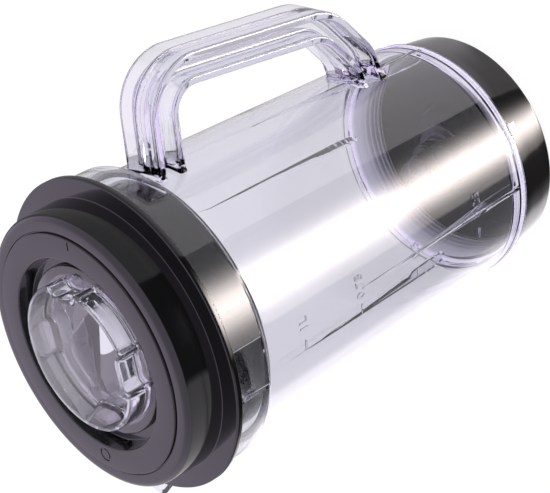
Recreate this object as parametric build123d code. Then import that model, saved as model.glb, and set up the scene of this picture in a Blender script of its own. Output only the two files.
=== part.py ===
from build123d import *
import math
import os

# Blender jar: clear vessel with collar, spout and D-handle, black lid with a
# clear filler cap, black base collar with a blade unit.  Millimetres, +Z up.
# Origin on the vessel's axis in the plane that the base collar stands on.
# The handle points along +X and the spout along -X.

# ---------------------------------------------------------------- dimensions
rim_z = 184.4            # top edge of the vessel
collar_r = 58.8          # wide collar at the mouth, outside
collar_in_r = 56.6
shoulder_z = 169.1       # where the collar starts
ledge_z = 168.0          # inner ledge in the collar
body_top_r, body_top_z = 54.35, 164.8
body_bot_r, body_bot_z = 49.46, 20.3
wall = 2.2
bead_r, bead_h = 50.1, 2.7
neck_z, neck_top_z, neck_t = 7.5, 20.2, 1.8   # conical neck inside the base collar

fin_t = 2.3              # inner fins, four of them
fin_foot_z = 20.8

spout_tip_x = -70.0      # spout lip at the rim
spout_z0 = 164.0

handle_w = 19.0          # across the flanges
handle_d = 12.3          # through the section, in the handle's plane
handle_flange = 3.2
handle_web = 3.6
handle_path = [(47.0, 158.1), (90.1, 155.7), (80.5, 74.9), (60.5, 58.6), (46.0, 55.4)]
handle_bends = [15.0, 19.0, 14.0]

flange_r, flange_z0, flange_z1 = 61.5, 184.8, 187.6      # lid flange
lid_r, lid_top = 54.0, 203.1
face_r, face_z = 47.3, 203.8                             # raised face ring
seat_r, seat_z = 37.9, 198.0                             # filler cap seat
hole_r = 29.3
skirt_r, skirt_in_r, skirt_z = 50.5, 48.3, 163.5
slot_az = [-11.6, -3.9, 3.9, 11.6]                       # strainer slots, degrees
slot_w, slot_z0, slot_z1 = 2.4, 167.6, 180.0

cap_r, cap_flange_r = 28.6, 33.3
cap_z0, cap_z1, cap_wall = 191.0, 207.4, 1.9
cap_notch_r, cap_notch_w, cap_turn = 24.3, 13.0, 3.5
cap_floor_z0, cap_floor_z1, cap_split_z = 197.0, 199.0, 199.4   # cup floor; hollows 1 and 2 run out above the split

ring_top_r, ring_bot_r, ring_top_z = 48.52, 45.9, 19.55   # base collar
ring_t, socket_r, socket_h = 1.9, 39.4, 4.4
seal_t = 0.9                                             # sleeve seal between neck and collar
floor_z = 6.6
boss_r, boss_top_z, boss_under_z = 17.5, 13.0, 10.4

shaft_r = 4.0
bush_bore_r, bush_r = 4.05, 5.95
housing_bore_r, housing_r = 6.0, 9.0
housing_z = 7.0
hub_z = 20.2             # top of the shaft's slinger flange
blade_t = 1.6
blade_rest = -57.0       # azimuth of the wings at rest, degrees

PARTS = {}


def keep(name, shape, label=None):
    if isinstance(shape, (list, tuple, ShapeList)):
        shape = Compound(children=list(shape))
    PARTS[name] = shape


def turned(points):
    """Solid of revolution about Z from (r, z) points; a point may be ('arc', mid, end)."""
    edges, here = [], points[0]
    for p in points[1:]:
        if p[0] == "arc":
            edges.append(ThreePointArc((here[0], 0, here[1]), (p[1][0], 0, p[1][1]), (p[2][0], 0, p[2][1])))
            here = p[2]
        else:
            edges.append(Line((here[0], 0, here[1]), (p[0], 0, p[1])))
            here = p
    if abs(here[0] - points[0][0]) > 1e-6 or abs(here[1] - points[0][1]) > 1e-6:
        edges.append(Line((here[0], 0, here[1]), (points[0][0], 0, points[0][1])))
    face = make_face(Wire(edges))
    return revolve(face, Axis.Z, 360)


def tube(r_in, r_out, z0, z1):
    return turned([(r_in, z0), (r_out, z0), (r_out, z1), (r_in, z1)])


def body_r(z, inset=0.0):
    t = (z - body_bot_z) / (body_top_z - body_bot_z)
    return body_bot_r + (body_top_r - body_bot_r) * t - inset


def bore_r(z, inset=0.0):
    """Radius of the base collar's conical bore."""
    return 44.35 + 0.15 * (z - 4.4) - inset


def neck_in_r(z):
    return bore_r(z, 1.0 + neck_t)


def box_between(x0, x1, y0, y1, z0, z1):
    return Pos((x0 + x1) / 2, (y0 + y1) / 2, (z0 + z1) / 2) * Box(x1 - x0, y1 - y0, z1 - z0)


def about_z(shape, degrees):
    return Rot(0, 0, degrees) * shape


def slab(points, t):
    """Plate in the XZ plane, thickness t, centred on y = 0."""
    return extrude(make_face(Polyline([(x, 0, z) for x, z in points], close=True)), t / 2, both=True)


# ---------------------------------------------------------------- jar
outside = turned([
    (0, neck_z), (bore_r(neck_z, 1.4), neck_z), (bore_r(neck_z + 0.5, 1.0), neck_z + 0.5), (bore_r(body_bot_z, 1.0), body_bot_z),
    (bead_r - 0.4, body_bot_z), (bead_r, body_bot_z + 0.4),
    (bead_r, body_bot_z + bead_h - 0.5), (body_r(body_bot_z + bead_h), body_bot_z + bead_h),
    (body_top_r, body_top_z),
    ("arc", (body_top_r + 1.0, body_top_z + 2.2), (collar_r - 1.1, shoulder_z - 0.6)),
    ("arc", (collar_r - 0.25, shoulder_z + 0.05), (collar_r, shoulder_z + 0.9)),
    (collar_r, rim_z - 0.4), (collar_r - 0.4, rim_z), (0, rim_z)])

inside = turned([
    (0, neck_z - 1), (neck_in_r(neck_z - 1), neck_z - 1), (neck_in_r(neck_top_z), neck_top_z),
    (neck_in_r(neck_top_z) + 1.4, 21.9),
    ("arc", (body_r(25, wall) - 0.72, 23.6), (body_r(27.6, wall), 27.6)),
    (body_r(body_top_z, wall) - 0.02, body_top_z - 0.6),
    (52.4, 167.4), (53.0, ledge_z), (collar_in_r - 0.5, ledge_z),
    (collar_in_r, ledge_z + 0.5),
    (collar_in_r, rim_z + 1), (0, rim_z + 1)])


def spout_section(z, tip_x, tip_r, root_x, root_w):
    """Face at height z: straight flanks from the root to a round tip, tangent to it."""
    cx = tip_x + tip_r
    dx, dy = root_x - cx, root_w
    d = math.hypot(dx, dy)
    a = math.atan2(dy, dx) + math.acos(tip_r / d)      # tangent point on the +Y side
    tx, ty = cx + tip_r * math.cos(a), tip_r * math.sin(a)
    wire = Wire([Line((root_x, -root_w, z), (root_x, root_w, z)), Line((root_x, root_w, z), (tx, ty, z)),
                 ThreePointArc((tx, ty, z), (tip_x, 0, z), (tx, -ty, z)), Line((tx, -ty, z), (root_x, -root_w, z))])
    return make_face(wire)


spout_out = loft([spout_section(spout_z0, -52.6, 3.6, -36.0, 8.0), spout_section(rim_z, spout_tip_x, 7.0, -44.0, 27.0)])
spout_in = loft([spout_section(spout_z0 + 3.2, -52.2, 3.0, -36.0, 6.0), spout_section(rim_z + 1.0, spout_tip_x + 1.8, 5.4, -44.0, 25.0)])

# handle: I section swept along the grip's line
path = FilletPolyline([(x, 0, z) for x, z in handle_path], radius=handle_bends)
w, d, f, t = handle_w / 2, handle_d / 2, handle_flange, handle_web / 2
sec = Polyline([(-w, -d), (w, -d), (w, -d + f), (t, -d + f), (t, d - f), (w, d - f), (w, d),
                (-w, d), (-w, d - f), (-t, d - f), (-t, -d + f), (-w, -d + f)], close=True)
sec = make_face(sec)
outer_v = [v for v in sec.vertices() if abs(abs(v.X) - w) < 1e-6]
inner_v = [v for v in sec.vertices() if abs(abs(v.X) - t) < 1e-6]
sec = fillet(outer_v, 1.1)
inner_v = [v for v in sec.vertices() if abs(abs(v.X) - t) < 1e-6]
sec = fillet(inner_v, 1.3)
tangent = path % 0
start = path @ 0
section_plane = Plane(origin=start, x_dir=(0, 1, 0), z_dir=tangent)
handle = sweep(section_plane * sec, path=path)

jar = outside + spout_out + handle
jar = jar - inside - spout_in

# inner fins, deep at the foot and running out up the wall
fin = slab([(body_r(fin_foot_z) - 1.2, fin_foot_z), (43.2, fin_foot_z), (42.4, fin_foot_z + 1.2), (42.4, 30.0), (43.6, 44.0),
            (45.9, 60.0), (48.9, 90.0), (51.3, 131.0), (body_r(131.0) - 1.0, 131.0)], fin_t)
for k in range(4):
    jar = jar + about_z(fin, 90 * k)

# lands inside the collar, at both sides, each with a raised bead and edge ribs
for side in (-1, 1):
    land = tube(55.7, collar_in_r + 0.4, ledge_z - 0.2, rim_z - 1.6)
    wedge = Cylinder(70, 60, arc_size=20.5, align=(Align.CENTER, Align.CENTER, Align.CENTER))
    wedge = Pos(0, 0, 175) * about_z(wedge, (-102.5 if side < 0 else 82.0))
    jar = jar + (land & wedge)
# locking tabs on the rim bead
for k in range(4):
    tab = tube(49.0, 50.55, 16.9, body_bot_z + 0.6) & box_between(40, 60, -2.7, 2.7, 10, 30)
    jar = jar + about_z(tab, -62.5 + 90 * k)
keep("jar", jar)

# ---------------------------------------------------------------- lid
lid = turned([
    (hole_r, 191.5), (31.6, 191.5), (31.6, 195.6), (39.2, 195.9), (40.4, 201.2), (49.6, 200.7), (51.3, 198.9),
    (51.6, 188.6), (skirt_in_r, 186.0), (skirt_in_r, skirt_z + 0.4), (skirt_in_r + 0.4, skirt_z), (skirt_r - 0.4, skirt_z), (skirt_r, skirt_z + 0.4),
    (skirt_r + 0.1, flange_z0), (56.0, flange_z0), (56.0, flange_z0 + 1.2), (58.9, flange_z0 + 1.2), (58.9, flange_z0),
    (flange_r - 0.8, flange_z0), (flange_r, flange_z0 + 0.8),
    (flange_r, flange_z1 - 1.0), (flange_r - 1.0, flange_z1),
    (lid_r + 0.6, flange_z1), (lid_r, flange_z1 + 0.6),
    (lid_r - 0.35, 199.3), ("arc", (lid_r - 1.6, lid_top - 1.25), (lid_r - 4.4, lid_top)),
    (48.0, lid_top), (47.75, lid_top - 0.45), (face_r + 0.25, lid_top - 0.45), (face_r + 0.1, face_z - 0.3),
    (face_r - 0.2, face_z), (seat_r + 0.5, face_z), (seat_r, face_z - 0.5),
    (seat_r - 1.3, seat_z), (hole_r + 0.4, seat_z), (hole_r, seat_z - 0.4)])
for a in slot_az:
    lid = lid - about_z(box_between(45, 54, -slot_w / 2, slot_w / 2, slot_z0, slot_z1), a)
lid = lid - about_z(box_between(43.2, 46.5, -0.35, 0.35, face_z - 0.35, face_z + 1), -4.0)
lid = lid - about_z(Pos(42.2, 0, 0) * tube(2.1, 2.75, face_z - 0.35, face_z + 1), 180)
keep("lid", lid)

keep("lid_seal", tube(56.1, 58.5, rim_z + 0.02, flange_z0 + 1.15))

# ---------------------------------------------------------------- filler cap
def lobes(radius, floor_r, width, corner_out, corner_in, places=(0, 1, 2, 3)):
    """Disc with up to four round-cornered notches in its edge, drawn with tangent arcs."""
    h, q, p = width / 2, corner_out, corner_in
    cx, cy = math.sqrt((radius - q) ** 2 - (h + q) ** 2), h + q
    half = (math.atan2(cy, cx) - math.pi / 2) / 2
    s = math.sqrt(0.5)
    edges = []
    for k in range(4):
        turn = k * math.pi / 2

        def at(x, y):
            return (x * math.cos(turn) - y * math.sin(turn), x * math.sin(turn) + y * math.cos(turn), 0)

        rim = (cx * radius / (radius - q), cy * radius / (radius - q))
        mid = (cx + q * math.cos(half), cy + q * math.sin(half))
        corner = (floor_r + p - p * s, h - p + p * s)
        if k in places:
            edges += [ThreePointArc(at(rim[0], -rim[1]), at(mid[0], -mid[1]), at(cx, -h)), Line(at(cx, -h), at(floor_r + p, -h)),
                      ThreePointArc(at(floor_r + p, -h), at(corner[0], -corner[1]), at(floor_r, p - h)),
                      Line(at(floor_r, p - h), at(floor_r, h - p)),
                      ThreePointArc(at(floor_r, h - p), at(*corner), at(floor_r + p, h)), Line(at(floor_r + p, h), at(cx, h)),
                      ThreePointArc(at(cx, h), at(*mid), at(*rim))]
        else:
            edges.append(ThreePointArc(at(rim[0], -rim[1]), at(radius, 0), at(*rim)))
        edges.append(ThreePointArc(at(*rim), at(radius * s, radius * s), at(rim[1], rim[0])))
    return make_face(Wire(edges))


def scoop(grow, corner):
    """Block that leans out with height: its inner face is the floor of a hollow that runs out at the rim."""
    lean = math.degrees(math.atan2(4.0, cap_z1 - cap_split_z))
    block = Box(14, cap_notch_w + 2 * grow, 40)
    block = fillet(block.edges().filter_by(Axis.Z).group_by(Axis.X)[0], corner)
    x = cap_notch_r + 0.1 - grow / math.cos(math.radians(lean))
    return Pos(x, 0, cap_split_z) * Rot(0, lean, 0) * Pos(7, 0, 0) * block


low_out = Pos(0, 0, cap_z0) * extrude(lobes(cap_r, cap_notch_r, cap_notch_w, 1.8, 3.0), cap_split_z - cap_z0)
up_out = Pos(0, 0, cap_split_z) * extrude(lobes(cap_r, cap_notch_r, cap_notch_w, 1.8, 3.0, (0, 3)), cap_z1 - cap_split_z)
in_r, in_notch, in_w = cap_r - cap_wall, cap_notch_r - cap_wall, cap_notch_w + 2 * cap_wall
cup = Pos(0, 0, cap_floor_z1) * extrude(lobes(in_r, in_notch, in_w, 0.9, 4.9, (0, 3)), 30)
under = Pos(0, 0, cap_z0 - 5) * extrude(lobes(in_r, in_notch, in_w, 0.9, 4.9), cap_floor_z0 - cap_z0 + 5)
for k in (1, 2):
    up_out = up_out - about_z(scoop(0.0, 3.0), 90 * k)
    cup = cup - about_z(scoop(cap_wall, 4.9), 90 * k)
cap = low_out + up_out + Pos(0, 0, seat_z + 0.9) * Cylinder(cap_flange_r, 1.8)
cap = cap - cup - under
keep("filler_cap", about_z(cap, cap_turn))

# ---------------------------------------------------------------- base collar and carrier
keep("base_collar", turned([
    (socket_r, 0.4), (socket_r + 0.4, 0), (ring_bot_r - 2.0, 0), ("arc", (ring_bot_r - 0.55, 0.62), (ring_bot_r, 2.1)),
    (ring_top_r - 0.03, ring_top_z - 0.25), (ring_top_r - 0.28, ring_top_z), (bore_r(ring_top_z), ring_top_z),
    (bore_r(socket_h), socket_h), (socket_r, socket_h)]))

# one silicone ring: lip under the neck's end, sleeve round the neck, flange on the collar's top edge
keep("base_seal", turned([
    (neck_in_r(neck_z), floor_z), (bore_r(floor_z, 0.05), floor_z), (bore_r(ring_top_z, 0.05), ring_top_z), (ring_top_r - 0.45, ring_top_z),
    (ring_top_r - 0.45, body_bot_z), (bore_r(body_bot_z, 0.95), body_bot_z), (bore_r(neck_z, 0.95), neck_z), (neck_in_r(neck_z), neck_z)]))

keep("blade_carrier", turned([
    (9.05, boss_top_z), (boss_r - 1.2, boss_top_z), ("arc", (boss_r - 0.35, boss_top_z - 0.35), (boss_r, boss_top_z - 1.2)),
    (19.0, floor_z + 1.8), ("arc", (19.6, floor_z + 0.55), (21.0, floor_z)), (bore_r(socket_h, 0.15), floor_z),
    (bore_r(socket_h, 0.15), socket_h), (18.4, socket_h), (15.8, boss_under_z), (9.05, boss_under_z)]))

# ---------------------------------------------------------------- bearing
keep("housing_gasket", tube(9.05, 12.3, boss_top_z, boss_top_z + 0.6))
b = boss_top_z
keep("bearing_housing", turned([
    (housing_bore_r, housing_z), (housing_r - 0.5, housing_z), (housing_r, housing_z + 0.5), (housing_r, b + 0.6), (12.1, b + 0.6),
    (12.5, b + 1.0), (12.5, b + 1.8), (12.0, b + 2.4), (9.4, b + 2.4), ("arc", (8.55, b + 2.75), (8.2, b + 3.6)), (8.2, b + 4.6),
    ("arc", (7.95, b + 5.15), (7.4, b + 5.4)), (housing_bore_r, b + 5.4)]))
nut = extrude(Pos(0, 0, housing_z + 0.1) * RegularPolygon(12.0, 6, major_radius=False), boss_under_z - housing_z - 0.1)
keep("housing_nut", nut - Pos(0, 0, 9) * Cylinder(9.05, 6))
keep("upper_bush", tube(bush_bore_r, bush_r, 12.4, 16.4))
keep("lower_bush", tube(bush_bore_r, bush_r, housing_z, 11.0))
keep("shaft_seal", turned([(4.08, 16.5), (bush_r, 16.5), (bush_r, 18.1), (5.2, 18.1), (4.6, 17.5), (4.08, 17.7)]))

# ---------------------------------------------------------------- shaft and blades
shaft = turned([
    (0, 2.2), (shaft_r - 0.3, 2.2), (shaft_r, 2.5), (shaft_r, 5.2), (3.3, 5.2), (3.3, 6.05), (shaft_r, 6.05), (shaft_r, hub_z - 1.2),
    (7.3, hub_z - 1.2), (7.5, hub_z - 1.0), (7.5, hub_z), (shaft_r, hub_z), (shaft_r, hub_z + 4.2), (3.0, hub_z + 4.2), (3.0, hub_z + 10.0),
    (2.5, hub_z + 10.5), (0, hub_z + 10.5)])
shaft = shaft - box_between(3.2, 6, -6, 6, hub_z, hub_z + 4.2) - box_between(-6, -3.2, -6, 6, hub_z, hub_z + 4.2)
shaft = shaft - box_between(3.2, 6, -6, 6, 2.0, 5.2) - box_between(-6, -3.2, -6, 6, 2.0, 5.2)
shaft = shaft - Pos(0, 0, 6.1) * Cylinder(2.05, 8.0)
keep("blade_shaft", shaft)


def flat_hole(r, half, z0, z1):
    return Pos(0, 0, (z0 + z1) / 2) * Cylinder(r, z1 - z0) & box_between(-half, half, -9, 9, z0, z1)


def blade(z, bend, tip):
    """Two wings bent along lines beside the hub, the leading edges ground thin."""
    hub = Pos(0, 0, z + blade_t / 2) * Cylinder(7.9, blade_t)
    wing = make_face(Polyline([(0, -5.2, 0), (tip - 4.5, -4.2, 0), (tip, -0.8, 0), (tip - 5.0, 3.7, 0), (0, 5.2, 0)], close=True))
    wing = extrude(wing, blade_t)
    edge = Plane(origin=(0, -5.2, 0), x_dir=(1, 0.08, 0), z_dir=(0, -0.42, 1))
    grind = Pos(0, 0, 0) * edge * Pos(12, 0, 3.62 - 2.0) * Box(60, 6.0, 4.0)
    wing = wing - grind
    wing = wing - box_between(-9, 0.0, -12, 12, -9, 9)
    out = hub
    for k in (0, 180):
        arm = Rot(0, -bend, 0) * wing
        arm = Pos(7.8, 0, z) * arm
        root = box_between(0, 7.95, -5.15, 5.15, z, z + blade_t)
        out = out + about_z(arm + root, k)
    return out


hole = flat_hole(shaft_r + 0.05, 3.25, 15, 45)
keep("lower_blade", blade(hub_z, -14, 15.0) - hole)
keep("blade_spacer", tube(4.05, 7.6, hub_z + blade_t, hub_z + blade_t + 1.0))
keep("upper_blade", blade(hub_z + blade_t + 1.0, 10, 11.0) - hole)
z = hub_z + 2 * blade_t + 1.0
keep("blade_washer", tube(3.1, 6.8, z, z + 1.0))
nut = extrude(Pos(0, 0, z + 1.0) * RegularPolygon(5.0, 6, major_radius=False), 4.0)
nut = nut + (Pos(0, 0, z + 4.6) * Sphere(4.6) & box_between(-9, 9, -9, 9, z + 4.0, z + 12))
keep("blade_nut", nut - Pos(0, 0, z + 3.0) * Cylinder(3.05, 7.2))

keep("thrust_washer", tube(4.1, 7.4, 6.1, 6.85))
clip = tube(3.35, 6.0, 5.3, 5.95) - box_between(0, 9, -2.6, 2.6, 5, 7)
keep("circlip", clip)

# ---------------------------------------------------------------- drive coupling
hub = Pos(0, 0, 2.9) * Cylinder(8.6, 4.2)
for k in range(8):
    hub = hub + about_z(box_between(6, 12.6, -1.9, 1.9, 0.8, 5.0), 45 * k)
hub = hub & Pos(0, 0, 2.9) * Cylinder(12.0, 6.0)
hub = hub - flat_hole(shaft_r + 0.04, 3.24, 2.2, 6.0) - Pos(0, 0, 1.4) * Cylinder(4.6, 1.6)
keep("drive_coupling", hub)
screw = Pos(0, 0, 1.65) * Cylinder(4.1, 1.1) + Pos(0, 0, 4.8) * Cylinder(2.0, 5.4)
screw = screw - box_between(-5, 5, -0.5, 0.5, 0.9, 1.6)
keep("coupling_screw", screw)

# the turning group rests with its wings on one azimuth
for name in ("blade_shaft", "lower_blade", "blade_spacer", "upper_blade", "blade_washer", "blade_nut",
             "thrust_washer", "circlip", "drive_coupling", "coupling_screw"):
    PARTS[name] = about_z(PARTS[name], blade_rest)

# ---------------------------------------------------------------- write
os.makedirs("parts", exist_ok=True)
for name, shape in PARTS.items():
    solids = shape.solids()
    out = solids[0] if len(solids) == 1 else Compound(children=list(solids))
    out.label = name
    export_step(out, f"parts/{name}.step")
    print(name, len(solids), "solid(s)", round(sum(s.volume for s in solids)), "mm3")
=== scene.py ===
import math

import bmesh
import bpy
import numpy as np
from mathutils import Matrix, Vector


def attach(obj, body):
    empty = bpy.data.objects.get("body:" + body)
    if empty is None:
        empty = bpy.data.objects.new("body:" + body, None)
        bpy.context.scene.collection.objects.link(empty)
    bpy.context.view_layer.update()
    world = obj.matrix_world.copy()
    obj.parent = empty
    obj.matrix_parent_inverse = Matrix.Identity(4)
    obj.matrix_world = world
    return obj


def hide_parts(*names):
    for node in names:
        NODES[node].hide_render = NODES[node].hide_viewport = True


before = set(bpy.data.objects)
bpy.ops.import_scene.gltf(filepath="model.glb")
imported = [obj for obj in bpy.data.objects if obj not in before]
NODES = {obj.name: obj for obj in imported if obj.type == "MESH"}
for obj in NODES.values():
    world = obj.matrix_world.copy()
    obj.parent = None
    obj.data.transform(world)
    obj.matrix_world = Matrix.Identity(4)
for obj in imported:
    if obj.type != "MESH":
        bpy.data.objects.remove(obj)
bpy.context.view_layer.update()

MM = 0.001


# ------------------------------------------------------------------ mesh kit
def make(name, verts, faces):
    mesh = bpy.data.meshes.new(name)
    mesh.from_pydata([tuple(v) for v in verts], [], faces)
    mesh.validate()
    bm = bmesh.new()
    bm.from_mesh(mesh)
    bmesh.ops.recalc_face_normals(bm, faces=bm.faces)
    bm.to_mesh(mesh)
    bm.free()
    obj = bpy.data.objects.new(name, mesh)
    bpy.context.scene.collection.objects.link(obj)
    return obj


def rounded(points, steps=5):
    """Polygon of (x, y) or (x, y, radius); each corner with a radius becomes an arc."""
    n, out = len(points), []
    for i in range(n):
        p = np.array(points[i][:2], float)
        radius = points[i][2] if len(points[i]) > 2 else 0
        if not radius:
            out.append(p)
            continue
        a = np.array(points[i - 1][:2], float) - p
        b = np.array(points[(i + 1) % n][:2], float) - p
        la, lb = np.linalg.norm(a), np.linalg.norm(b)
        a, b = a / la, b / lb
        turn = math.acos(max(-1, min(1, float(a @ b))))
        reach = radius / math.tan(turn / 2)
        limit = 0.49 * min(la, lb)
        if reach > limit:
            reach, radius = limit, limit * math.tan(turn / 2)
        centre = p + (a + b) / np.linalg.norm(a + b) * radius / math.sin(turn / 2)
        s, e = p + a * reach - centre, p + b * reach - centre
        t0 = math.atan2(s[1], s[0])
        dt = (math.atan2(e[1], e[0]) - t0 + math.pi) % (2 * math.pi) - math.pi
        k = max(2, int(steps * max(1, abs(dt) / 1.6)))
        for j in range(k + 1):
            t = t0 + dt * j / k
            out.append(centre + radius * np.array([math.cos(t), math.sin(t)]))
    return np.array(out)


def split_long(points, longest):
    """Adds points on long sides, so that faces stay near square."""
    out, n = [], len(points)
    for i in range(n):
        p, q = points[i], points[(i + 1) % n]
        out.append(p)
        if p[0] < 1e-6 and q[0] < 1e-6:
            continue
        k = int(np.linalg.norm(q - p) / longest)
        for j in range(1, k + 1):
            out.append(p + (q - p) * j / (k + 1))
    return np.array(out)


def lathe(name, points, segments=384, steps=5, longest=8.0):
    """Closed solid turned about Z from a closed (r, z[, radius]) outline."""
    prof = split_long(rounded(points, steps), longest)
    verts, index = [], []
    for r, z in prof:
        if r < 1e-6:
            index.append([len(verts)] * segments)
            verts.append((0, 0, z))
        else:
            index.append(list(range(len(verts), len(verts) + segments)))
            for j in range(segments):
                t = 2 * math.pi * j / segments
                verts.append((r * math.cos(t), r * math.sin(t), z))
    faces, n = [], len(prof)
    for i in range(n):
        a, b = index[i], index[(i + 1) % n]
        for j in range(segments):
            k = (j + 1) % segments
            face = []
            for v in (a[j], a[k], b[k], b[j]):
                if v not in face:
                    face.append(v)
            if len(face) > 2:
                faces.append(face)
    return make(name, verts, faces)


def loft(name, rings):
    """Closed solid through rings of equal length, flat at both ends."""
    n = len(rings[0])
    verts = [tuple(p) for ring in rings for p in ring]
    faces = []
    for i in range(len(rings) - 1):
        for j in range(n):
            k = (j + 1) % n
            faces.append([i * n + j, i * n + k, (i + 1) * n + k, (i + 1) * n + j])
    faces.append(list(range(n)))
    faces.append([(len(rings) - 1) * n + j for j in range(n)])
    return make(name, verts, faces)


def prism(name, outline, z0, z1):
    return loft(name, [[(x, y, z0) for x, y in outline], [(x, y, z1) for x, y in outline]])


def turned_about_z(obj, degrees):
    obj.data.transform(Matrix.Rotation(math.radians(degrees), 4, "Z"))
    return obj


def moved(obj, x=0.0, y=0.0, z=0.0):
    obj.data.transform(Matrix.Translation((x, y, z)))
    return obj


def combine(base, tool, operation):
    """Boolean of base and tool, which is used up."""
    mod = base.modifiers.new("bool", "BOOLEAN")
    mod.operation, mod.object, mod.solver = operation, tool, "MANIFOLD"
    bpy.context.view_layer.update()
    dg = bpy.context.evaluated_depsgraph_get()
    mesh = bpy.data.meshes.new_from_object(base.evaluated_get(dg), depsgraph=dg)
    if len(mesh.polygons) == 0:
        mod.solver = "EXACT"
        bpy.context.view_layer.update()
        dg = bpy.context.evaluated_depsgraph_get()
        mesh = bpy.data.meshes.new_from_object(base.evaluated_get(dg), depsgraph=dg)
    base.modifiers.clear()
    base.data = mesh
    bpy.data.objects.remove(tool)
    return base


def union(base, tool):
    return combine(base, tool, "UNION")


def cut(base, tool):
    return combine(base, tool, "DIFFERENCE")


def finish_piece(obj, body, material, replaces=(), sharp=28):
    obj.data.transform(Matrix.Scale(MM, 4))
    mesh = obj.data
    bm = bmesh.new()
    bm.from_mesh(mesh)
    bmesh.ops.remove_doubles(bm, verts=bm.verts, dist=2e-7)
    bmesh.ops.dissolve_degenerate(bm, edges=bm.edges, dist=1e-7)
    bm.to_mesh(mesh)
    bm.free()
    mesh.shade_smooth()
    mesh.set_sharp_from_angle(angle=math.radians(sharp))
    mesh.materials.clear()
    mesh.materials.append(material)
    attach(obj, body)
    if replaces:
        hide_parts(*replaces)
    return obj


# ------------------------------------------------------------------ materials
class Tree:
    def __init__(self, name):
        self.mat = bpy.data.materials.new(name)
        self.mat.use_nodes = True
        self.nt = self.mat.node_tree
        self.bsdf = self.nt.nodes["Principled BSDF"]
        self.out = self.nt.nodes["Material Output"]

    def set(self, **values):
        for key, value in values.items():
            self.bsdf.inputs[key.replace("_", " ")].default_value = value
        return self

    def node(self, kind, **inputs):
        n = self.nt.nodes.new(kind)
        for key, value in inputs.items():
            if key in n.inputs:
                n.inputs[key].default_value = value
            else:
                setattr(n, key, value)
        return n

    def link(self, a, b):
        self.nt.links.new(a, b)

    def noise(self, scale, detail=3.0, rough=0.5, stretch=None):
        coord = self.node("ShaderNodeTexCoord")
        n = self.node("ShaderNodeTexNoise")
        n.inputs["Scale"].default_value = scale
        n.inputs["Detail"].default_value = detail
        n.inputs["Roughness"].default_value = rough
        if stretch:
            m = self.node("ShaderNodeMapping")
            m.inputs["Scale"].default_value = stretch
            self.link(coord.outputs["Object"], m.inputs["Vector"])
            self.link(m.outputs["Vector"], n.inputs["Vector"])
        else:
            self.link(coord.outputs["Object"], n.inputs["Vector"])
        return n.outputs["Fac"]

    def remap(self, source, lo, hi, a=0.3, b=0.7):
        n = self.node("ShaderNodeMapRange")
        n.inputs["From Min"].default_value, n.inputs["From Max"].default_value = a, b
        n.inputs["To Min"].default_value, n.inputs["To Max"].default_value = lo, hi
        self.link(source, n.inputs["Value"])
        return n.outputs["Result"]

    def colour(self, source, dark, light, a=0.3, b=0.7):
        n = self.node("ShaderNodeValToRGB")
        n.color_ramp.elements[0].position, n.color_ramp.elements[0].color = a, (*dark, 1)
        n.color_ramp.elements[1].position, n.color_ramp.elements[1].color = b, (*light, 1)
        self.link(source, n.inputs["Fac"])
        self.link(n.outputs["Color"], self.bsdf.inputs["Base Color"])

    def bump(self, source, strength, distance):
        n = self.node("ShaderNodeBump")
        n.inputs["Strength"].default_value = strength
        n.inputs["Distance"].default_value = distance
        self.link(source, n.inputs["Height"])
        self.link(n.outputs["Normal"], self.bsdf.inputs["Normal"])


def clear_plastic(name, base, wave, tint, density):
    t = Tree(name)
    t.set(Base_Color=base, Transmission_Weight=1.0, IOR=1.57, Roughness=0.0)
    t.bump(t.noise(26, 2.0), 1.0, wave)
    vol = t.node("ShaderNodeVolumeAbsorption")
    vol.inputs["Color"].default_value = tint
    vol.inputs["Density"].default_value = density
    t.link(vol.outputs["Volume"], t.out.inputs["Volume"])
    return t.mat


def satin_black(name, dark, light, lo, hi, grain, depth, shine=0.5):
    t = Tree(name)
    t.set(IOR=1.5, Specular_IOR_Level=shine)
    t.colour(t.noise(60, 4.0), dark, light)
    t.link(t.remap(t.noise(240, 3.0), lo, hi), t.bsdf.inputs["Roughness"])
    t.bump(t.noise(grain, 2.0, 0.6), 0.6, depth)
    return t.mat


def metal(name, dark, light, lo, hi, stretch):
    t = Tree(name)
    t.set(Metallic=1.0)
    lines = t.noise(120, 3.0, 0.6, stretch)
    t.colour(lines, dark, light)
    t.link(t.remap(lines, lo, hi), t.bsdf.inputs["Roughness"])
    t.bump(lines, 0.3, 0.00002)
    return t.mat


CLEAR = clear_plastic("clear_wall", (0.825, 0.818, 0.862, 1), 0.00006, (0.40, 0.385, 0.64, 1), 18.0)
CLEAR_CAP = clear_plastic("clear_cup", (0.885, 0.880, 0.910, 1), 0.00005, (0.40, 0.385, 0.68, 1), 10.0)
CUP = Tree.__new__(Tree)
CUP.mat, CUP.nt = CLEAR_CAP, CLEAR_CAP.node_tree
CUP.bsdf, CUP.out = CUP.nt.nodes["Principled BSDF"], CUP.nt.nodes["Material Output"]
# Painted light: transmission drops towards one side of the cap so its pale base colour shows there, standing in for
# light the plastic carries round to that side.
painted_light_side = CUP.node("ShaderNodeVectorMath", operation="DOT_PRODUCT")
CUP.link(CUP.node("ShaderNodeTexCoord").outputs["Object"], painted_light_side.inputs[0])
painted_light_side.inputs[1].default_value = (math.cos(math.radians(112)), math.sin(math.radians(112)), 0.0)
CUP.link(CUP.remap(painted_light_side.outputs["Value"], 0.965, 0.72, 0.008, 0.026), CUP.bsdf.inputs["Transmission Weight"])
LID = satin_black("lid_black", (0.0042, 0.0040, 0.0046), (0.0060, 0.0056, 0.0064), 0.06, 0.09, 2600, 0.000004)
skirt = LID.node_tree.nodes.new("ShaderNodeMapRange")
skirt.inputs["From Min"].default_value, skirt.inputs["From Max"].default_value = 0.1838, 0.1846
skirt.inputs["To Min"].default_value, skirt.inputs["To Max"].default_value = 0.16, 0.5
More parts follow.
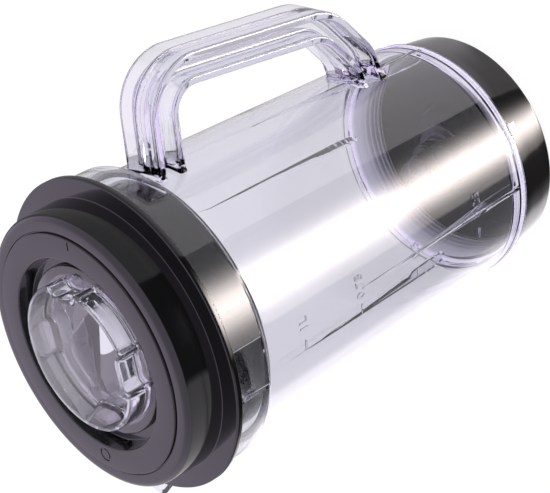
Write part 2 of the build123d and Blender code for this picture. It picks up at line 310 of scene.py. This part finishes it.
skirt_sep, skirt_co = LID.node_tree.nodes.new("ShaderNodeSeparateXYZ"), LID.node_tree.nodes.new("ShaderNodeTexCoord")
LID.node_tree.links.new(skirt_co.outputs["Object"], skirt_sep.inputs[0])
LID.node_tree.links.new(skirt_sep.outputs["Z"], skirt.inputs["Value"])
LID.node_tree.links.new(skirt.outputs["Result"], LID.node_tree.nodes["Principled BSDF"].inputs["Specular IOR Level"])
RING = satin_black("ring_black", (0.0090, 0.0084, 0.0084), (0.0125, 0.0115, 0.0115), 0.07, 0.11, 2600, 0.000003)
CARRIER = satin_black("carrier_black", (0.0045, 0.0045, 0.0050), (0.0060, 0.0060, 0.0066), 0.34, 0.46, 1800, 0.00001, 0.05)
SILICONE = satin_black("silicone_grey", (0.52, 0.51, 0.50), (0.60, 0.59, 0.58), 0.45, 0.6, 1500, 0.00003)
PALE_SEAL_PAINTED_GLOW = satin_black("silicone_pale_painted_glow", (0.50, 0.49, 0.53), (0.58, 0.57, 0.61), 0.40, 0.55, 1500, 0.00002)
# Painted light: the pale seal glows by its own emission, in bright and dark bands up its height, standing in for light
# that the clear neck carries and bends onto it.
painted_glow_bsdf = PALE_SEAL_PAINTED_GLOW.node_tree.nodes["Principled BSDF"]
painted_glow_bsdf.inputs["Emission Color"].default_value = (0.82, 0.80, 0.92, 1)
painted_glow_bands = PALE_SEAL_PAINTED_GLOW.node_tree.nodes.new("ShaderNodeValToRGB")
painted_glow_height = PALE_SEAL_PAINTED_GLOW.node_tree.nodes.new("ShaderNodeMapRange")
painted_glow_height.inputs["From Min"].default_value, painted_glow_height.inputs["From Max"].default_value = 0.0066, 0.0206
painted_glow_coord, painted_glow_z = PALE_SEAL_PAINTED_GLOW.node_tree.nodes.new("ShaderNodeTexCoord"), PALE_SEAL_PAINTED_GLOW.node_tree.nodes.new("ShaderNodeSeparateXYZ")
PALE_SEAL_PAINTED_GLOW.node_tree.links.new(painted_glow_coord.outputs["Object"], painted_glow_z.inputs[0])
PALE_SEAL_PAINTED_GLOW.node_tree.links.new(painted_glow_z.outputs["Z"], painted_glow_height.inputs["Value"])
PALE_SEAL_PAINTED_GLOW.node_tree.links.new(painted_glow_height.outputs["Result"], painted_glow_bands.inputs["Fac"])
# Painted glow strength by height: the bright steps are painted light rings.
painted_glow_stops = [(0.0, 0.0), (0.07, 0.02), (0.10, 0.38), (0.13, 0.04), (0.20, 0.10), (0.235, 0.42), (0.27, 0.08), (0.36, 0.20), (0.40, 0.50), (0.44, 0.22),
         (0.54, 0.36), (0.58, 0.60), (0.62, 0.45), (0.80, 0.62), (1.0, 0.66)]
painted_glow_ramp = painted_glow_bands.color_ramp
painted_glow_ramp.elements[0].position, painted_glow_ramp.elements[0].color = painted_glow_stops[0][0], (painted_glow_stops[0][1],) * 3 + (1,)
painted_glow_ramp.elements[1].position, painted_glow_ramp.elements[1].color = painted_glow_stops[-1][0], (painted_glow_stops[-1][1],) * 3 + (1,)
for at, value in painted_glow_stops[1:-1]:
    painted_glow_ramp.elements.new(at).color = (value,) * 3 + (1,)
PALE_SEAL_PAINTED_GLOW.node_tree.links.new(painted_glow_bands.outputs["Color"], painted_glow_bsdf.inputs["Emission Strength"])
RUBBER = satin_black("rubber_black", (0.010, 0.010, 0.010), (0.018, 0.018, 0.018), 0.5, 0.65, 1500, 0.00003)
BLADE = metal("blade_steel", (0.055, 0.055, 0.058), (0.085, 0.085, 0.090), 0.30, 0.42, (1.0, 14.0, 14.0))
SHAFT = metal("shaft_steel", (0.060, 0.060, 0.063), (0.095, 0.095, 0.100), 0.30, 0.42, (1.0, 1.0, 30.0))
BRONZE = metal("bush_bronze", (0.34, 0.22, 0.10), (0.48, 0.33, 0.17), 0.40, 0.55, (2.0, 2.0, 2.0))

# ------------------------------------------------------------------ jar
RIM, BOT = 184.4, 20.3
WALL = 2.2


def body_r(z, inset=0.0):
    return 49.46 + (54.35 - 49.46) * (z - BOT) / (164.8 - BOT) - inset


def bore_r(z, inset=0.0):
    return 44.35 + 0.15 * (z - 4.4) - inset


jar = lathe("jar_clear", [
    (0, 7.5), (bore_r(7.5, 1.0), 7.5, 0.5), (bore_r(20.3, 1.0), 20.3, 0.4), (50.1, 20.3, 0.6), (50.1, 22.8, 0.5), (49.55, 23.2, 0.3),
    (body_r(150), 150), (54.35, 165.4, 3.0), (58.0, 168.6, 1.2), (58.8, 169.6, 0.9), (58.8, 170.9), (58.8, RIM - 0.8), (58.8, RIM, 0.5), (0, RIM)],
    segments=480, steps=6, longest=6.0)

# handle: I section along the grip's line
line = [(47.0, 158.1), (90.1, 155.7, 15.0), (80.5, 74.9, 19.0), (60.5, 58.6, 14.0), (46.0, 55.4)]


def open_path(points, spacing):
    """Points along an open line with arcs at its corners, with unit tangents."""
    pts = [np.array(points[0][:2], float)]
    for i in range(1, len(points) - 1):
        tri = [points[i - 1][:2], points[i], points[i + 1][:2]]
        p, a, b = (np.array(q[:2], float) for q in (tri[1], tri[0], tri[2]))
        a, b = (a - p) / np.linalg.norm(a - p), (b - p) / np.linalg.norm(b - p)
        turn = math.acos(float(a @ b))
        r = points[i][2]
        reach = r / math.tan(turn / 2)
        centre = p + (a + b) / np.linalg.norm(a + b) * r / math.sin(turn / 2)
        s, e = p + a * reach - centre, p + b * reach - centre
        t0 = math.atan2(s[1], s[0])
        dt = (math.atan2(e[1], e[0]) - t0 + math.pi) % (2 * math.pi) - math.pi
        k = max(6, int(abs(dt) / 0.07))
        for j in range(k + 1):
            t = t0 + dt * j / k
            pts.append(centre + r * np.array([math.cos(t), math.sin(t)]))
    pts.append(np.array(points[-1][:2], float))
    dense = [pts[0]]
    for p, q in zip(pts, pts[1:]):
        k = max(1, int(np.linalg.norm(q - p) / spacing))
        dense += [p + (q - p) * j / k for j in range(1, k + 1)]
    dense = np.array(dense)
    tang = np.gradient(dense, axis=0)
    return dense, tang / np.linalg.norm(tang, axis=1)[:, None]


def i_section(half_w, half_d, flange, web, edge, inner):
    h, t = half_d, web / 2
    return rounded([(-half_w, -h, edge), (half_w, -h, edge), (half_w, -h + flange, edge * 0.8), (t, -h + flange + 0.25, inner),
                    (t, h - flange - 0.25, inner), (half_w, h - flange, edge * 0.8), (half_w, h, edge), (-half_w, h, edge),
                    (-half_w, h - flange, edge * 0.8), (-t, h - flange - 0.25, inner), (-t, -h + flange + 0.25, inner),
                    (-half_w, -h + flange, edge * 0.8)], 4)


def handle_solid():
    dense, tang = open_path(line, 2.0)
    rings = []
    for (x, z), (tx, tz) in zip(dense, tang):
        gap = x - body_r(max(z, 30.0))
        flare = 1.3 * max(0.0, 1 - max(gap, 0.0) / 3.0) ** 2 if z < 90 else 0.5 * max(0.0, 1 - max(gap, 0.0) / 1.6) ** 2
        sec = i_section(9.5 + 0.6 * flare, 6.15 + flare, 3.2 + flare, 3.6 + 1.4 * flare, 1.0, 1.3)
        nx, nz = -tz, tx
        rings.append([(x + nx * v, u, z + nz * v) for u, v in sec])
    return loft("handle", rings)


jar = union(jar, handle_solid())


# spout: lofted lip that grows out of the collar
def spout_ring(z, tip_x, tip_r, root_x, root_w, n=14):
    cx = tip_x + tip_r
    dx, dy = root_x - cx, root_w
    d = math.hypot(dx, dy)
    a = math.atan2(dy, dx) + math.acos(tip_r / d)
    pts = [(root_x, -root_w), (root_x, root_w)]
    for i in range(2 * n + 1):
        t = a + (2 * math.pi - 2 * a) * i / (2 * n)
        pts.append((cx + tip_r * math.cos(t), tip_r * math.sin(t)))
    return [(x, y, z) for x, y in pts]


def spout(name, z0, z1, a, b, top, n=14):
    rings = []
    for i in range(n + 1):
        s = i / n
        bow = s - 0.10 * math.sin(math.pi * s)
        rings.append(spout_ring(z0 + (z1 - z0) * s, *[p + (q - p) * bow for p, q in zip(a, b)]))
    if top:
        rings.append([(x, y, z1 + top) for x, y, z in rings[-1]])
    return loft(name, rings)


jar = union(jar, spout("spout", 164.0, RIM, (-52.6, 3.6, -36.0, 8.0), (-70.0, 7.0, -44.0, 27.0), 0))
jar = cut(jar, lathe("hollow", [
    (0, 5.0), (bore_r(5.0, 2.8), 5.0), (bore_r(21.6, 2.8), 21.6, 1.4), (46.5, 22.4, 2.0), (body_r(28, WALL), 28.0, 3.0),
    (body_r(164, WALL), 164.0, 2.0), (52.7, 167.8, 0.8), (56.6, 168.0, 0.7), (56.6, 190.0), (0, 190.0)],
    segments=480, steps=6, longest=6.0))
jar = cut(jar, spout("spout_in", 167.2, RIM, (-52.2, 3.0, -36.0, 6.0), (-68.2, 5.4, -44.0, 25.0), 3.0))


# inner fins: drafted blades, deep at the foot and running out up the wall
def fin():
    foot, inner = 20.8, [(20.8, 43.2), (21.6, 42.6), (23.0, 42.4), (30.0, 42.5), (38.0, 43.0), (44.0, 43.7), (52.0, 44.7), (60.0, 45.8),
                         (75.0, 47.5), (90.0, 48.9), (110.0, 50.2), (131.0, 51.6)]
    rings = []
    for z, x in inner:
        s = (z - foot) / (131.0 - foot)
        half_in, half_out = 0.80 * (1 - 0.45 * s), 1.12 * (1 - 0.35 * s)
        out = body_r(max(z, 24.0)) - 1.0
        mid = x + 0.6
        rings.append([(out, -half_out, z), (mid, -half_in, z), (x + 0.12, -half_in * 0.6, z), (x, 0, z), (x + 0.12, half_in * 0.6, z),
                      (mid, half_in, z), (out, half_out, z)])
    return loft("fin", rings)


for k in range(4):
    jar = union(jar, turned_about_z(fin(), 90 * k))


def sector(name, r0, r1, a0, a1, z0, z1, n=24, edge=0.15):
    """Curved pad between two azimuths, with small chamfers."""
    rings = []
    for i in range(n + 1):
        t = math.radians(a0 + (a1 - a0) * i / n)
        c, s = math.cos(t), math.sin(t)
        quad = rounded([(r0, z0, edge), (r1, z0), (r1, z1), (r0, z1, edge)], 2)
        rings.append([(r * c, r * s, z) for r, z in quad])
    return loft(name, rings)


for side in (-1, 1):
    a0, a1 = (-102.5, -82.0) if side < 0 else (82.0, 102.5)
    jar = union(jar, sector("land", 55.7, 57.2, a0, a1, 167.6, 182.8, edge=0.3))
    for rib in (a0 + 0.1, a1 - 0.9):
        jar = union(jar, sector("rib", 55.1, 57.0, rib, rib + 0.8, 167.5, 183.4, 2, 0.35))
for k in range(4):
    jar = union(jar, sector("tab", 49.2, 50.5, -62.5 + 90 * k - 2.6, -62.5 + 90 * k + 2.6, 17.4, 21.2, 8, 0.55))


# raised scale marks, wrapped on the wall
def wrap(obj, azimuth, z, height):
    """Flat text or bar in the XY plane to the wall at that azimuth: x runs round, y up, z out."""
    for v in obj.data.vertices:
        x, y, out = v.co
        zz = z + y
        r = body_r(zz) - 0.15 + (height + 0.15 if out > 0.5 else 0.0)
        t = math.radians(azimuth) + x / body_r(z)
        v.co = (r * math.cos(t), r * math.sin(t), zz)
    return obj


def text_solid(text, size, weight):
    curve = bpy.data.curves.new("mark", "FONT")
    curve.body, curve.size, curve.align_x, curve.align_y = text, size, "CENTER", "CENTER"
    curve.extrude, curve.offset, curve.space_character = 0.5, weight, 1.08
    curve.resolution_u = 3
    tmp = bpy.data.objects.new("mark", curve)
    bpy.context.scene.collection.objects.link(tmp)
    bpy.context.view_layer.update()
    mesh = bpy.data.meshes.new_from_object(tmp.evaluated_get(bpy.context.evaluated_depsgraph_get()))
    bpy.data.objects.remove(tmp)
    obj = bpy.data.objects.new("mark", mesh)
    bpy.context.scene.collection.objects.link(obj)
    bm = bmesh.new()
    bm.from_mesh(mesh)
    bmesh.ops.remove_doubles(bm, verts=bm.verts, dist=1e-5)
    bmesh.ops.translate(bm, verts=bm.verts, vec=(0, 0, 0.5))
    bm.to_mesh(mesh)
    bm.free()
    return obj


MARKS = [("1L", 146.7, -98.0, -88.6), ("0.75", 116.9, -98.0, -87.6), ("0.5", 85.9, -98.0, -87.3), ("0.25", 49.5, -98.0, -84.0)]
for text, z, dash_az, text_az in MARKS:
    bar = prism("bar", rounded([(-2.2, -0.28, 0.2), (2.2, -0.28, 0.2), (2.2, 0.28, 0.2), (-2.2, 0.28, 0.2)], 2), 0.0, 1.0)
    jar = union(jar, wrap(bar, dash_az, z, 0.42))
    jar = union(jar, wrap(text_solid(text, 5.4, 0.0), text_az, z, 0.42))

jar = finish_piece(jar, "vessel", CLEAR, ["jar"])

# ------------------------------------------------------------------ lid
HOLE, SEAT, SEAT_Z, FACE_R, FACE_Z, TOP = 29.3, 37.9, 198.0, 47.3, 203.8, 203.1
F0, F1 = 184.8, 187.6
lid = lathe("lid_body", [
    (HOLE, 191.5, 0.4), (31.6, 191.5, 0.4), (31.6, 195.6, 0.8), (39.2, 195.9, 0.8), (40.4, 201.2, 0.6), (49.6, 200.7, 1.2), (51.4, 198.5, 1.0),
    (51.7, 188.6, 1.0), (48.3, 186.0, 0.8), (48.3, 163.5, 0.5), (50.5, 163.5, 0.5), (50.6, F0, 0.3), (56.0, F0, 0.2), (56.0, F0 + 1.2),
    (58.9, F0 + 1.2), (58.9, F0, 0.2), (61.5, F0, 0.3), (61.5, F1, 0.45), (54.0, F1, 0.35), (53.55, TOP, 2.5), (48.0, TOP, 0.2), (47.8, TOP - 0.35),
    (47.55, TOP - 0.35), (FACE_R, FACE_Z, 0.3), (SEAT, FACE_Z, 0.6), (SEAT - 1.3, SEAT_Z, 0.4), (HOLE, SEAT_Z, 0.4)],
    segments=480, steps=7, longest=8.0)
for a in (-11.6, -3.9, 3.9, 11.6):
    box = prism("slot", [(45, -1.2), (53, -1.2), (53, 1.2), (45, 1.2)], 167.6, 180.0)
    lid = cut(lid, turned_about_z(box, a))


def ring_cut(name, r0, r1, depth, x):
    outline = []
    for i in range(48):
        t = 2 * math.pi * i / 48
        outline.append((math.cos(t), math.sin(t)))
    verts = [(x + r * c, r * s, z) for r, z in ((r0, FACE_Z - depth), (r1, FACE_Z - depth), (r1, FACE_Z + 1), (r0, FACE_Z + 1)) for c, s in outline]
    faces = []
    for i in range(4):
        for j in range(48):
            k = (j + 1) % 48
            faces.append([i * 48 + j, i * 48 + k, ((i + 1) % 4) * 48 + k, ((i + 1) % 4) * 48 + j])
    return make(name, verts, faces)


lid = cut(lid, turned_about_z(prism("mark_i", rounded([(43.2, -0.33, 0.3), (46.6, -0.33, 0.3), (46.6, 0.33, 0.3), (43.2, 0.33, 0.3)], 3), FACE_Z - 0.35, FACE_Z + 1), -4.5))
lid = cut(lid, turned_about_z(ring_cut("mark_o", 2.15, 2.75, 0.35, 42.2), 179))
lid = finish_piece(lid, "lid", LID, ["lid"], sharp=32)

# ------------------------------------------------------------------ filler cap
def lobes(radius, floor_r, width, corner_out, corner_in, places=(0, 1, 2, 3)):
    """Round outline with up to four finger hollows; points in order round the axis."""
    h, q, p = width / 2, corner_out, corner_in
    cx, cy = math.sqrt((radius - q) ** 2 - (h + q) ** 2), h + q
    t_end = math.atan2(cy, cx)
    half, plain = [], []
    for i in range(7):
        t = math.pi / 2 * i / 6
        half.append((floor_r + p - p * math.cos(t), h - p + p * math.sin(t)))
    for i in range(1, 8):
        t = -math.pi / 2 + (t_end + math.pi / 2) * i / 8
        half.append((cx + q * math.cos(t), cy + q * math.sin(t)))
    for i in range(len(half)):
        t = t_end * (i + 0.5) / (len(half) + 0.5)
        plain.append((radius * math.cos(t), radius * math.sin(t)))
    rest = []
    for i in range(11):
        t = t_end + (math.pi / 4 - t_end) * i / 10
        rest.append((radius * math.cos(t), radius * math.sin(t)))
    out = []
    for k in range(4):
        side = (half if k in places else plain) + rest
        quarter = [(x, -y) for x, y in reversed(side)][1:] + side
        c, s = math.cos(math.pi / 2 * k), math.sin(math.pi / 2 * k)
        out += [(x * c - y * s, x * s + y * c) for x, y in quarter]
    return out


def lobed_solid(name, levels, places=(0, 1, 2, 3)):
    """Levels of (z, radius, floor, width, corner_out, corner_in)."""
    return loft(name, [[(x, y, z) for x, y in lobes(r, f, w, co, ci, places)] for z, r, f, w, co, ci in levels])


CR, NR, NW, CW = 28.6, 24.3, 13.0, 1.9
SPLIT, CUP_TOP = 199.4, 207.4


def scoop(grow, corner):
    """Block that leans out with height: the floor of a hollow that runs out at the rim."""
    lean = math.atan2(4.0, CUP_TOP - SPLIT)
    x0, h = NR + 0.1 - grow / math.cos(lean), NW / 2 + grow
    rings = []
    for z in (SPLIT - 2.2, CUP_TOP + 6.0):
        x = x0 + (z - SPLIT) * math.tan(lean)
        rings.append([(px, py, z) for px, py in rounded([(x, -h, corner), (x + 20, -h), (x + 20, h), (x, h, corner)], 8)])
    return loft("scoop", rings)


# lower half: skirt with four hollows; upper half: cup whose two far hollows run out at the rim
low = lobed_solid("cap_clear", [(191.0, CR - 0.5, NR - 0.5, NW + 0.8, 1.6, 2.8), (191.2, CR - 0.15, NR - 0.15, NW + 0.3, 1.8, 3.0),
                                (191.6, CR, NR, NW, 1.8, 3.0), (SPLIT, CR, NR, NW, 1.8, 3.0)])
up = lobed_solid("cap_up", [(SPLIT - 0.3, CR, NR, NW, 1.8, 3.0), (206.3, CR, NR, NW, 1.8, 3.0), (206.8, CR - 0.08, NR - 0.08, NW + 0.15, 1.8, 3.0),
                            (207.15, CR - 0.3, NR - 0.3, NW + 0.5, 1.7, 2.9), (CUP_TOP, CR - 0.75, NR - 0.7, NW + 1.2, 1.5, 2.7)], (0, 3))
cup = lobed_solid("cup", [(199.0, CR - CW - 1.3, NR - CW - 1.3, NW + 2 * CW + 1.6, 0.9, 4.6), (199.35, CR - CW - 0.5, NR - CW - 0.5, NW + 2 * CW + 0.7, 0.9, 4.8),
                          (200.1, CR - CW, NR - CW, NW + 2 * CW, 0.9, 4.9), (206.7, CR - CW, NR - CW, NW + 2 * CW, 0.9, 4.9),
                          (207.5, CR - CW + 0.5, NR - CW + 0.5, NW + 2 * CW - 0.7, 0.9, 4.9), (210.0, CR - CW + 0.5, NR - CW + 0.5, NW + 2 * CW - 0.7, 0.9, 4.9)], (0, 3))
for k in (1, 2):
    up = cut(up, turned_about_z(scoop(0.0, 3.0), 90 * k))
    cup = cut(cup, turned_about_z(scoop(CW, 4.9), 90 * k))
cap = union(low, up)
cap = union(cap, lathe("cap_flange", [(0, SEAT_Z), (33.3, SEAT_Z, 0.4), (33.3, SEAT_Z + 1.8, 0.6), (0, SEAT_Z + 1.8)], 256, 4, 8))
cap = cut(cap, cup)
cap = cut(cap, lobed_solid("under", [(188.0, CR - CW, NR - CW, NW + 2 * CW, 0.9, 4.9), (196.4, CR - CW, NR - CW, NW + 2 * CW, 0.9, 4.9),
                                     (197.0, CR - CW - 0.6, NR - CW - 0.6, NW + 2 * CW + 0.8, 0.9, 4.8)]))
turned_about_z(cap, 3.5)
cap = finish_piece(cap, "lid", CLEAR_CAP, ["filler_cap"], sharp=35)

# ------------------------------------------------------------------ base collar and carrier
ring = lathe("base_ring", [
    (39.4, 0.0, 0.4), (45.9, 0.0, 2.0), (48.5, 19.55, 0.3), (bore_r(19.55), 19.55, 0.2), (bore_r(4.4), 4.4, 0.2), (39.4, 4.4, 0.3)], 480, 8, 6)
ring = finish_piece(ring, "vessel", RING, ["base_collar"], sharp=35)

carrier = lathe("carrier_disc", [
    (9.05, 13.0, 0.2), (17.5, 13.0, 1.2), (19.6, 6.6, 2.0), (44.2, 6.6, 0.3), (44.2, 4.4, 0.3),
    (18.4, 4.4, 0.8), (15.8, 10.4, 0.8), (9.05, 10.4)], 256, 5, 6)
carrier = finish_piece(carrier, "vessel", CARRIER, ["blade_carrier"], sharp=35)

# sleeve seal: pale silicone whose material carries the painted glow bands.
seal = lathe("sleeve_seal", [
    (bore_r(7.5, 2.8), 6.6, 0.2), (bore_r(6.6, 0.05), 6.6, 0.2), (bore_r(19.55, 0.05), 19.55), (48.07, 19.55, 0.3), (48.07, 20.3, 0.3),
    (bore_r(20.3, 0.95), 20.3), (bore_r(7.5, 0.95), 7.5), (bore_r(7.5, 2.8), 7.5, 0.2)], 384, 4, 6)
seal = finish_piece(seal, "vessel", PALE_SEAL_PAINTED_GLOW, ["base_seal"], sharp=35)

# ------------------------------------------------------------------ carried-over pieces
FINISH = {
    "lid_seal": SILICONE, "bearing_housing": SHAFT, "housing_gasket": RUBBER, "housing_nut": SHAFT,
    "upper_bush": BRONZE, "lower_bush": BRONZE, "shaft_seal": RUBBER, "blade_shaft": SHAFT, "lower_blade": BLADE,
    "blade_spacer": SHAFT, "upper_blade": BLADE, "blade_washer": SHAFT, "blade_nut": SHAFT, "thrust_washer": SHAFT,
    "circlip": SHAFT, "drive_coupling": CARRIER, "coupling_screw": SHAFT}
for node, material in FINISH.items():
    mesh = NODES[node].data
    mesh.materials.clear()
    mesh.materials.append(material)

# ------------------------------------------------------------------ floor, world, lights
floor = make("floor", [(-3, -3, -0.0003), (3, -3, -0.0003), (3, 3, -0.0003), (-3, 3, -0.0003)], [[0, 1, 2, 3]])
t = Tree("pale_floor")
t.set(Base_Color=(0.93, 0.93, 0.93, 1), Roughness=0.9)
glow = t.node("ShaderNodeEmission")
glow.inputs["Color"].default_value = (1.0, 1.0, 1.0, 1)
glow.inputs["Strength"].default_value = 1.08
mix = t.node("ShaderNodeMixShader")
mix.inputs["Fac"].default_value = 0.85
t.link(t.bsdf.outputs["BSDF"], mix.inputs[1])
t.link(glow.outputs["Emission"], mix.inputs[2])
t.link(mix.outputs["Shader"], t.out.inputs["Surface"])
floor.data.materials.append(t.mat)
floor.visible_glossy = False

CAM_AZ = -57.0
world = bpy.data.worlds.new("studio")
bpy.context.scene.world = world
world.use_nodes = True
wt = world.node_tree
wt.nodes.clear()


def wnode(kind, **kw):
    n = wt.nodes.new(kind)
    for key, value in kw.items():
        setattr(n, key, value)
    return n


def wmath(op, a, b=None, c=None, clamp=False):
    n = wnode("ShaderNodeMath", operation=op, use_clamp=clamp)
    for i, v in enumerate((a, b, c)):
        if v is None:
            continue
        if isinstance(v, (int, float)):
            n.inputs[i].default_value = v
        else:
            wt.links.new(v, n.inputs[i])
    return n.outputs[0]


def step(v, a, b):
    """Smooth step of v from a to b."""
    n = wnode("ShaderNodeMapRange", interpolation_type="SMOOTHSTEP")
    n.inputs["From Min"].default_value, n.inputs["From Max"].default_value = a, b
    wt.links.new(v, n.inputs["Value"])
    return n.outputs["Result"]


coord = wnode("ShaderNodeTexCoord")
rot = wnode("ShaderNodeVectorRotate", rotation_type="Z_AXIS")
rot.inputs["Angle"].default_value = math.radians(-CAM_AZ)
wt.links.new(coord.outputs["Generated"], rot.inputs["Vector"])
sep = wnode("ShaderNodeSeparateXYZ")
wt.links.new(rot.outputs["Vector"], sep.inputs[0])
az = wmath("MULTIPLY", wmath("ARCTAN2", sep.outputs["Y"], sep.outputs["X"]), 180 / math.pi)
el = wmath("MULTIPLY", wmath("ARCSINE", sep.outputs["Z"]), 180 / math.pi)
# softbox: a tall band, brightest at its middle
gauss = wmath("MULTIPLY", wmath("ADD", az, 18.5), 1 / 10.8)
gauss = wmath("EXPONENT", wmath("MULTIPLY", wmath("MULTIPLY", gauss, gauss), -0.5))
low = step(el, -30.1, -31.2)
hump = wmath("MULTIPLY", wmath("ADD", el, 44.0), 1 / 7.5)
hump = wmath("EXPONENT", wmath("MULTIPLY", wmath("MULTIPLY", hump, hump), -0.5))
soft = wmath("MULTIPLY", wmath("MULTIPLY", gauss, 17.5), low)
# dimmer wing beside it, and a window above it
wing = wmath("MULTIPLY", wmath("MULTIPLY", step(az, -52.0, -48.0), step(az, -20.0, -34.0)), wmath("MULTIPLY", low, 1.4))
soft = wmath("MULTIPLY", wmath("ADD", soft, wing), wmath("ADD", 1.0, wmath("MULTIPLY", hump, 0.30)))
window = wmath("MULTIPLY", step(az, -52.0, -60.0), wmath("MULTIPLY", step(el, -29.0, -27.4), 0.8))
# pale sweep: one side beyond a sharp edge and brighter further down, the other past a soft one, and overhead
side_a = wmath("MULTIPLY", step(az, 25.5, 27.0), wmath("ADD", wmath("MULTIPLY", step(el, -26.0, -37.0), 0.65), 0.40))
side_a = wmath("MULTIPLY", side_a, wmath("ADD", 1.0, wmath("MULTIPLY", hump, 0.30)))
side_a = wmath("MULTIPLY", side_a, wmath("SUBTRACT", 1.0, wmath("ADD", wmath("MULTIPLY", step(el, -50.0, -56.0), 0.42),
                                                       wmath("ADD", wmath("MULTIPLY", step(az, 50.0, 115.0), 0.20), wmath("MULTIPLY", wmath("MULTIPLY", step(az, 100.0, 150.0), 0.34), step(el, -55.0, -48.0))))))
side_b = wmath("ADD", wmath("MULTIPLY", step(az, -90.0, -114.0), 0.42), wmath("MULTIPLY", step(az, -110.0, -126.0), 1.5))
side_b = wmath("MULTIPLY", side_b, step(el, -29.5, -32.0))
over = step(el, -8.0, 12.0)
pale = wmath("MAXIMUM", wmath("MAXIMUM", side_a, side_b), window)


def tinted(value, colour):
    n = wnode("ShaderNodeVectorMath", operation="SCALE")
    n.inputs[0].default_value = colour
    wt.links.new(value, n.inputs["Scale"])
    return n.outputs["Vector"]


def plus(a, b):
    n = wnode("ShaderNodeVectorMath", operation="ADD")
    wt.links.new(a, n.inputs[0])
    wt.links.new(b, n.inputs[1])
    return n.outputs["Vector"]


total = plus(tinted(soft, (1.06, 0.96, 0.92)),
             plus(tinted(wmath("MULTIPLY", pale, wmath("SUBTRACT", 1.0, over)), (1.02, 0.98, 1.02)), tinted(over, (1.16, 1.02, 1.30))))
light_path = wnode("ShaderNodeLightPath")
sharp_ray = wmath("MAXIMUM", light_path.outputs["Is Glossy Ray"], light_path.outputs["Is Transmission Ray"])
seen = plus(total, tinted(wmath("MULTIPLY_ADD", light_path.outputs["Is Transmission Ray"], 0.055, 0.02), (1.0, 0.98, 1.08)))
blend = wnode("ShaderNodeMix", data_type="RGBA")
blend.inputs[6].default_value = (1.0, 1.0, 1.0, 1)
wt.links.new(sharp_ray, blend.inputs[0])
wt.links.new(seen, blend.inputs[7])
bg = wnode("ShaderNodeBackground")
wt.links.new(blend.outputs[2], bg.inputs["Color"])
wt.links.new(bg.outputs["Background"], wnode("ShaderNodeOutputWorld").inputs["Surface"])

# ------------------------------------------------------------------ camera
cam_data = bpy.data.cameras.new("camera")
cam = bpy.data.objects.new("camera", cam_data)
bpy.context.scene.collection.objects.link(cam)
cam_data.sensor_fit = "HORIZONTAL"
cam_data.sensor_width = 36.0
cam_data.lens = 1960.7 * 36.0 / 550.0
cam_data.shift_y = 0.0036
cam_data.clip_start, cam_data.clip_end = 0.05, 20.0
AZ, EL, ROLL, DIST, TARGET = math.radians(CAM_AZ), math.radians(34.60), math.radians(-119.49), 0.7494, Vector((0, 0, 0.1098))
back = Vector((math.cos(AZ) * math.cos(EL), math.sin(AZ) * math.cos(EL), math.sin(EL)))
right = Vector((0, 0, 1)).cross(back).normalized()
up = back.cross(right)
r2 = right * math.cos(ROLL) + up * math.sin(ROLL)
u2 = back.cross(r2)
cam.matrix_world = Matrix((
    (r2.x, u2.x, back.x, TARGET.x + back.x * DIST), (r2.y, u2.y, back.y, TARGET.y + back.y * DIST),
    (r2.z, u2.z, back.z, TARGET.z + back.z * DIST), (0, 0, 0, 1)))
bpy.context.scene.camera = cam
bpy.context.scene.view_settings.view_transform = "Standard"
bpy.context.scene.view_settings.look = "None"
